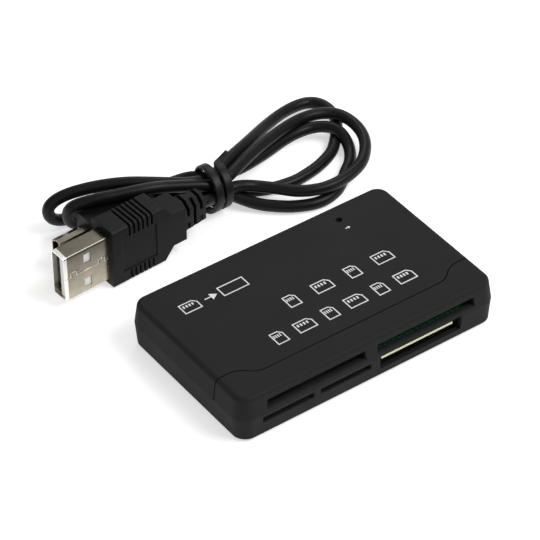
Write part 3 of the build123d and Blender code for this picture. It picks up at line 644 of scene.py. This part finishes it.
class LEAD_OT_tie(bpy.types.Operator):
    """Wind the coated tie round the bundle and leave its end standing out"""

    bl_idname = "lead.tie"
    bl_label = "Tie"

    def execute(self, context):
        look = context.scene.reader_lead
        low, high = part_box("cable_tie")
        middle = Vector((0, (low.y + high.y) / 2, (low.z + high.y - low.y) / 2))
        across = look.tie_radius + look.tie_thickness / 2
        start = Vector((low.x - look.tie_width / 4, middle.y, middle.z - across))
        advance = TIE_PITCH * look.tie_width * TIE_TURNS
        bm = bmesh.new()
        band = self.band(bm, look, start)
        spun = bmesh.ops.spin(
            bm, geom=band + list({e for v in band for e in v.link_edges}), cent=middle, axis=(1, 0, 0),
            dvec=(advance / TIE_STEPS, 0, 0), angle=-2 * pi * TIE_TURNS, steps=TIE_STEPS, use_merge=False,
        )
        tail = [e for e in spun["geom_last"] if isinstance(e, bmesh.types.BMEdge)]
        fold = Vector((start.x + advance + FOLD_CENTRE * look.tie_width, middle.y, 0))
        for _ in range(FOLD_STEPS):
            tail, moved = self.grow(bm, tail)
            bmesh.ops.rotate(bm, verts=moved, cent=fold, matrix=Matrix.Rotation(FOLD_ANGLE, 3, "Z"))
            self.narrow(bm, moved, FOLD_NARROWING)
        for _ in range(TAIL_STEPS):
            tail, moved = self.grow(bm, tail)
            bmesh.ops.translate(bm, verts=moved, vec=TAIL_STEP)
            self.narrow(bm, moved, TAIL_NARROWING)
        bmesh.ops.holes_fill(bm, edges=[e for e in bm.edges if e.is_boundary], sides=0)
        bmesh.ops.recalc_face_normals(bm, faces=bm.faces)
        wire = moulded(
            "tie_jacket", look.jacket, 0.45, grain=0.0004, depth=0.00002, mottle=0.2, gloss=0.26,
        )
        tie = piece("tie", mesh_from(bm, "tie"), wire)
        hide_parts("cable_tie")
        return {"FINISHED"}

    @staticmethod
    def grow(bm, edges):
        """New end of the tie, still in the place of the old one: its edges and its points."""
        grown = bmesh.ops.extrude_edge_only(bm, edges=edges)["geom"]
        moved = [v for v in grown if isinstance(v, bmesh.types.BMVert)]
        added = [e for e in grown if isinstance(e, bmesh.types.BMEdge)]
        return [e for e in added if all(v in moved for v in e.verts)], moved

    @staticmethod
    def narrow(bm, points, share):
        """Draws the points in towards their middle."""
        middle = sum((v.co for v in points), Vector()) / len(points)
        bmesh.ops.scale(bm, verts=points, vec=(share, share, share), space=Matrix.Translation(-middle))

    @staticmethod
    def band(bm, look, place):
        """Flat section of the tie with rounded corners, standing across the bundle's axis."""
        band = bmesh.ops.create_grid(bm, x_segments=1, y_segments=1, size=0.5)["verts"]
        bmesh.ops.scale(bm, verts=band, vec=(look.tie_width, look.tie_thickness, 1.0))
        bmesh.ops.bevel(
            bm, geom=band, offset=TIE_CORNER * look.tie_thickness, segments=4, profile=0.5,
            affect="VERTICES", material=-1,
        )
        bmesh.ops.delete(bm, geom=bm.faces[:], context="FACES_ONLY")
        band = bm.verts[:]
        bmesh.ops.rotate(bm, verts=band, cent=(0, 0, 0), matrix=Matrix.Rotation(pi / 2, 3, "X"))
        bmesh.ops.translate(bm, verts=band, vec=place)
        return band


class STUDIO_OT_build(bpy.types.Operator):
    """Set up the white floor, the soft lights and the camera"""

    bl_idname = "studio.build"
    bl_label = "Studio"

    def execute(self, context):
        look = context.scene.reader_studio
        self.floor()
        self.world(context, look)
        self.light("key_light", *KEY_LIGHT, look.key)
        self.light("fill_light", *FILL_LIGHT, look.fill)
        self.light("back_light", *BACK_LIGHT, look.back)
        self.camera(context, look)
        context.scene.view_settings.view_transform = "Standard"
        return {"FINISHED"}

    @staticmethod
    def floor():
        """Pale floor that keeps the shadows and glows faintly to the camera and in reflections."""
        bm = bmesh.new()
        bmesh.ops.create_grid(bm, x_segments=1, y_segments=1, size=FLOOR_REACH)
        bmesh.ops.translate(bm, verts=bm.verts, vec=(0, 0, -FLOOR_DROP))
        plane = bpy.data.objects.new("floor", mesh_from(bm, "floor", smooth=False))
        bpy.context.scene.collection.objects.link(plane)
        paper = bpy.data.materials.new("white_paper")
        paper.use_nodes = True
        nodes, links = paper.node_tree.nodes, paper.node_tree.links
        shader = nodes["Principled BSDF"]
        shader.inputs["Base Color"].default_value = (*FLOOR_COLOUR, 1.0)
        shader.inputs["Roughness"].default_value = 0.9
        shader.inputs["Specular IOR Level"].default_value = 0.1
        shader.inputs["Emission Color"].default_value = (1.0, 1.0, 1.0, 1.0)
        path = nodes.new("ShaderNodeLightPath")
        seen = path.outputs["Is Camera Ray"]
        for ray in ("Is Glossy Ray", "Is Transmission Ray"):
            either = nodes.new("ShaderNodeMath")
            either.operation = "MAXIMUM"
            links.new(seen, either.inputs[0])
            links.new(path.outputs[ray], either.inputs[1])
            seen = either.outputs["Value"]
        lift = nodes.new("ShaderNodeMath")
        lift.operation = "MULTIPLY"
        lift.inputs[1].default_value = FLOOR_GLOW
        links.new(seen, lift.inputs[0])
        links.new(lift.outputs["Value"], shader.inputs["Emission Strength"])
        plane.data.materials.append(paper)

    @staticmethod
    def world(context, look):
        """Even light from all round."""
        world = bpy.data.worlds.new("studio")
        world.use_nodes = True
        context.scene.world = world
        background = world.node_tree.nodes["Background"]
        background.inputs["Color"].default_value = (1.0, 1.0, 1.0, 1.0)
        background.inputs["Strength"].default_value = look.ambient

    @staticmethod
    def light(name, place, size, power):
        """Square soft light aimed at the middle of the object."""
        data = bpy.data.lights.new(name, "AREA")
        data.size = size
        data.energy = power
        lamp = bpy.data.objects.new(name, data)
        bpy.context.scene.collection.objects.link(lamp)
        lamp.location = place
        aim = Vector(LIGHT_AIM) - Vector(place)
        lamp.rotation_mode = "QUATERNION"
        lamp.rotation_quaternion = aim.to_track_quat("-Z", "Y")

    @staticmethod
    def camera(context, look):
        """Camera at the photograph's view."""
        back = Vector((
            sin(look.azimuth) * cos(look.elevation),
            -cos(look.azimuth) * cos(look.elevation),
            sin(look.elevation),
        ))
        level = Vector((cos(look.azimuth), sin(look.azimuth), 0))
        rise = back.cross(level)
        right = cos(look.roll) * level - sin(look.roll) * rise
        up = sin(look.roll) * level + cos(look.roll) * rise
        turn = Matrix((right, up, back)).transposed()
        data = bpy.data.cameras.new("camera")
        data.sensor_width = SENSOR_WIDTH
        data.lens = look.lens
        data.clip_start = 0.01
        camera = bpy.data.objects.new("camera", data)
        context.scene.collection.objects.link(camera)
        camera.rotation_mode = "QUATERNION"
        camera.rotation_quaternion = turn.to_quaternion()
        camera.location = look.distance * back - look.across * level + look.down * rise
        context.scene.camera = camera


class READER_PT_panel(bpy.types.Panel):
    """Lists the pieces and their settings"""

    bl_idname = "READER_PT_panel"
    bl_label = "Card reader"
    bl_space_type = "VIEW_3D"
    bl_region_type = "UI"
    bl_category = "Card reader"

    def draw(self, context):
        for settings, operators in PANEL:
            box = self.layout.box()
            group = getattr(context.scene, settings)
            for name in group.__annotations__:
                box.prop(group, name)
            for operator in operators:
                box.operator(operator.bl_idname, text=operator.bl_label)


PANEL = [
    ("reader_housing", [READER_OT_housing, READER_OT_inside, READER_OT_print]),
    ("reader_lead", [LEAD_OT_plugs, LEAD_OT_tie, LEAD_OT_cord]),
    ("reader_studio", [STUDIO_OT_build]),
]
GROUPS = {
    "reader_housing": HousingSettings,
    "reader_lead": LeadSettings,
    "reader_studio": StudioSettings,
}
CLASSES = [
    *GROUPS.values(), READER_OT_housing, READER_OT_inside, READER_OT_print, LEAD_OT_plugs, LEAD_OT_tie,
    LEAD_OT_cord, STUDIO_OT_build, READER_PT_panel,
]


def register():
    for cls in CLASSES:
        bpy.utils.register_class(cls)
    for name, group in GROUPS.items():
        setattr(bpy.types.Scene, name, PointerProperty(type=group))


def unregister():
    for name in GROUPS:
        delattr(bpy.types.Scene, name)
    for cls in reversed(CLASSES):
        bpy.utils.unregister_class(cls)


def main():
    register()
    bpy.ops.reader.housing()
    bpy.ops.reader.inside()
    bpy.ops.reader.card_pictures()
    bpy.ops.lead.plugs()
    bpy.ops.lead.tie()
    bpy.ops.lead.cord()
    bpy.ops.studio.build()
    bpy.context.view_layer.update()


if __name__ == "__main__":
    main()
